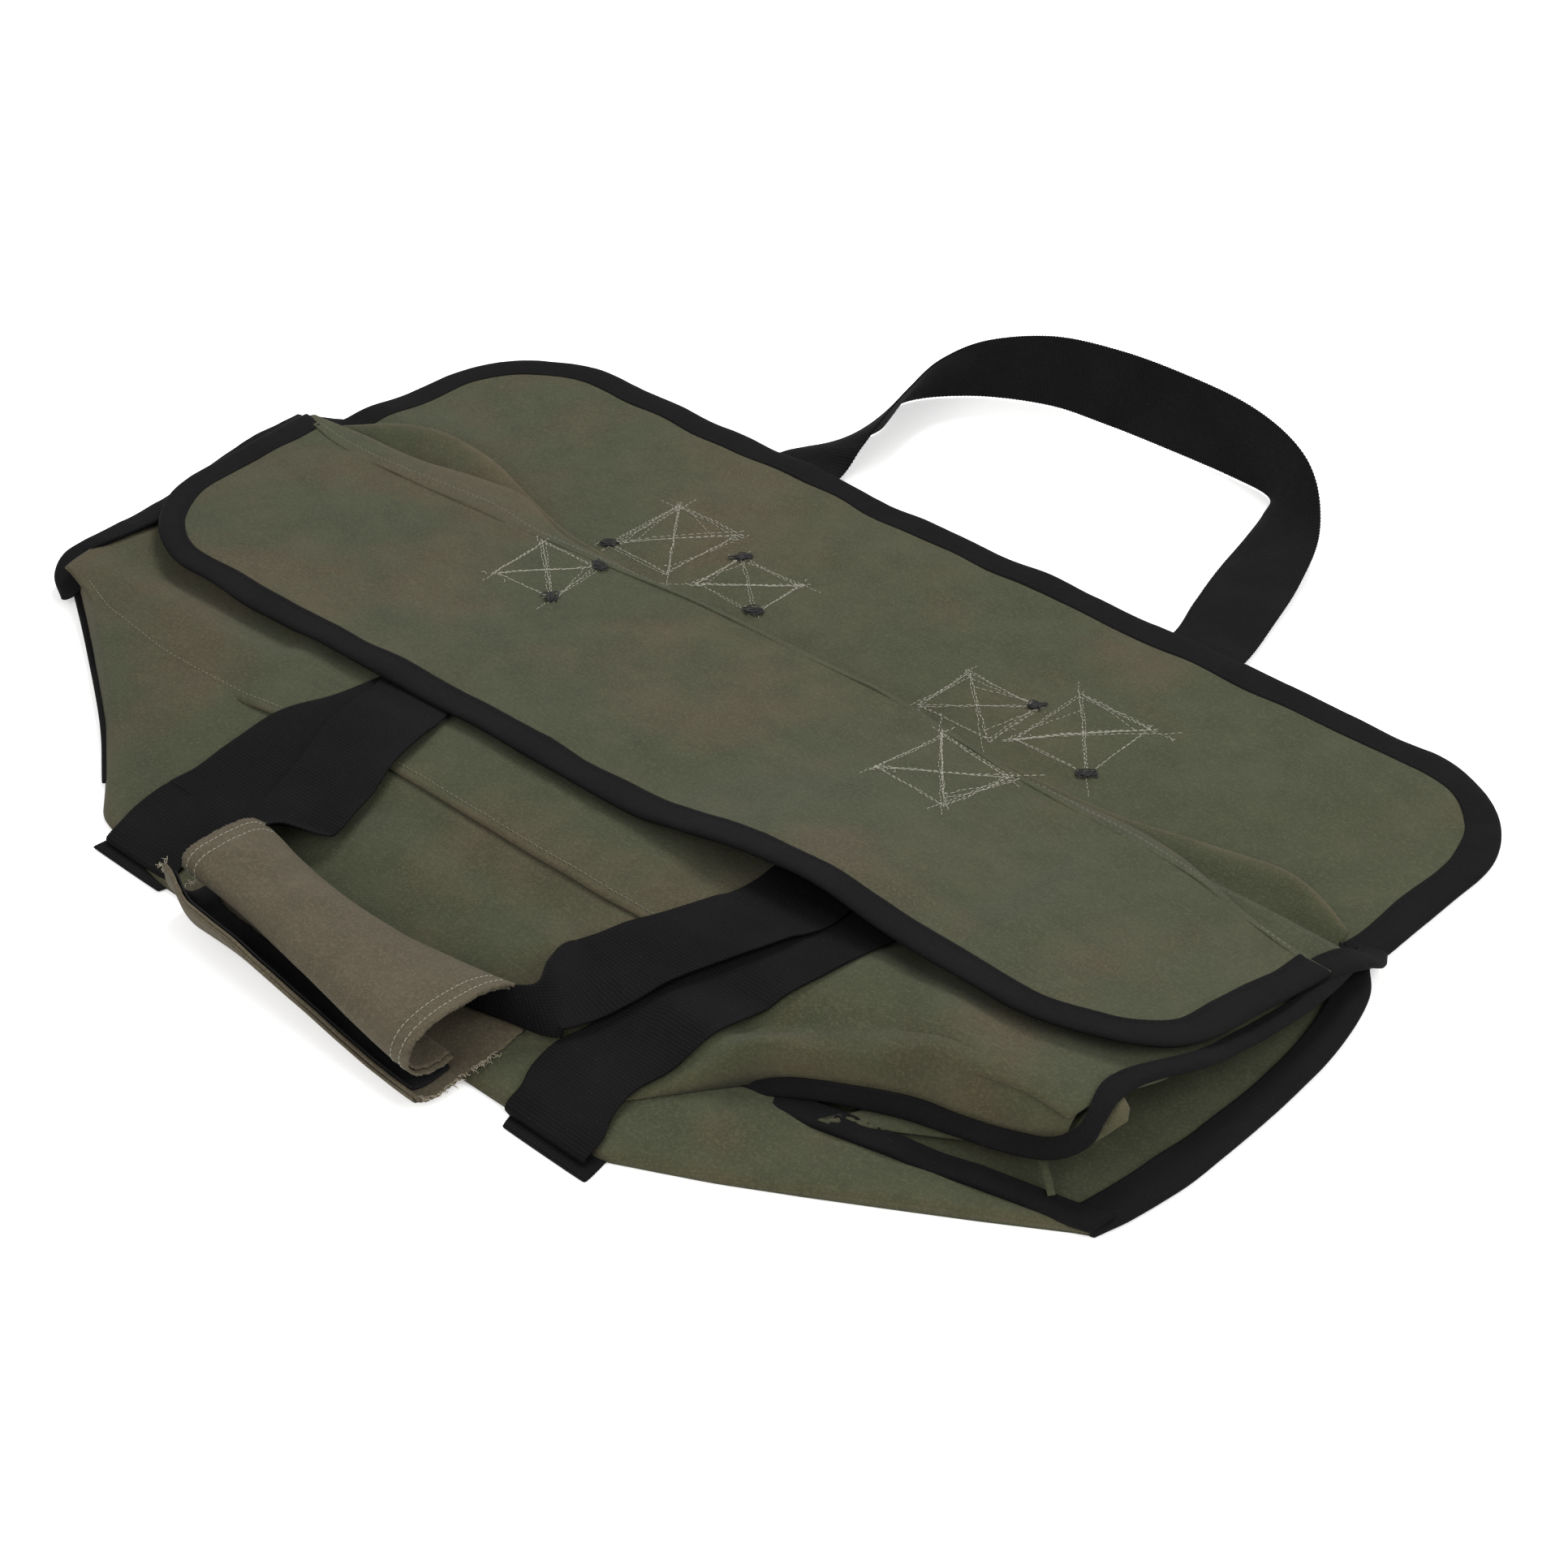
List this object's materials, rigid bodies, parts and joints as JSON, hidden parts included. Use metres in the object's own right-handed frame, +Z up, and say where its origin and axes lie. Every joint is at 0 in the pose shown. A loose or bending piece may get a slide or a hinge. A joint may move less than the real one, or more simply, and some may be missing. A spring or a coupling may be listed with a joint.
{
  "type": "garden tool bag",
  "caption": "Soft canvas garden tool bag lying collapsed and open, with two hinged cover flaps, bound edges, webbing straps and handles, and a wrap grip.",
  "frame": {"origin": "middle of the back wall's underside, which lies on the ground", "axes": "+X along the mouth, +Y from the bag's bottom to its mouth, +Z up, away from the ground"},
  "size_m": [0.8147, 0.729, 0.0625],
  "materials": {
    "canvas": "matte",
    "canvas_grip": "matte",
    "webbing": "matte",
    "binding": "matte",
    "thread": "matte",
    "hook_loop": "matte"
  },
  "bodies": {
    "bag": {"back_wall": "canvas", "front_wall": "canvas", "base_panel": "canvas", "body_strap_left": "webbing", "body_strap_right": "webbing", "left_end_panel": "canvas", "right_end_panel": "canvas", "left_back_binding": "binding", "left_front_binding": "binding", "left_base_binding": "binding", "right_back_binding": "binding", "right_front_binding": "binding", "right_base_binding": "binding", "near_lip_hem": "canvas", "far_lip_hem": "canvas", "far_flap_root_seam": "canvas", "near_flap_root_seam": "canvas", "wall_base_stitching": "thread", "near_lip_stitching": "thread"},
    "near_flap": {"near_flap_panel": "canvas", "near_flap_binding": "binding", "near_x_stitch_1": "thread", "near_x_stitch_2": "thread", "near_handle_left_tail": "webbing", "near_handle_right_tail": "webbing"},
    "near_handle": {"near_handle_webbing": "webbing", "grip_lower_leaf": "canvas_grip", "grip_hook_strip": "hook_loop"},
    "grip_cover": {"grip_upper_leaf": "canvas_grip", "grip_left_stitching": "thread", "grip_right_stitching": "thread"},
    "far_flap": {"far_flap_panel": "canvas", "far_flap_binding": "binding", "far_x_stitch_1": "thread", "far_x_stitch_2": "thread", "far_x_stitch_3": "thread", "far_x_stitch_4": "thread", "far_handle_left_foot": "webbing", "far_handle_left_tail": "webbing", "far_handle_right_foot": "webbing", "far_handle_right_tail": "webbing"},
    "far_handle": {"far_handle_webbing": "webbing"}
  },
  "joints": [
    {"name": "near_flap_lift", "type": "hinge", "parent": "bag", "child": "near_flap", "pos_m": [0, 0.158, 0.0205], "axis": [-1, 0, 0], "range_deg": [0, 60]},
    {"name": "near_handle_lift", "type": "hinge", "parent": "near_flap", "child": "near_handle", "pos_m": [0, -0.0205, 0.052], "axis": [-1, 0, 0], "range_deg": [0, 45]},
    {"name": "grip_open", "type": "hinge", "parent": "near_handle", "child": "grip_cover", "pos_m": [0.03, -0.133, 0.038], "axis": [-1, 0, 0], "range_deg": [0, 50]},
    {"name": "far_flap_lift", "type": "hinge", "parent": "bag", "child": "far_flap", "pos_m": [0, 0.2, 0.0053], "axis": [1, 0, 0], "range_deg": [0, 60]},
    {"name": "far_handle_lift", "type": "hinge", "parent": "far_flap", "child": "far_handle", "pos_m": [0.01, 0.357, 0.0015], "axis": [1, 0, 0], "range_deg": [0, 30]}
  ]
}
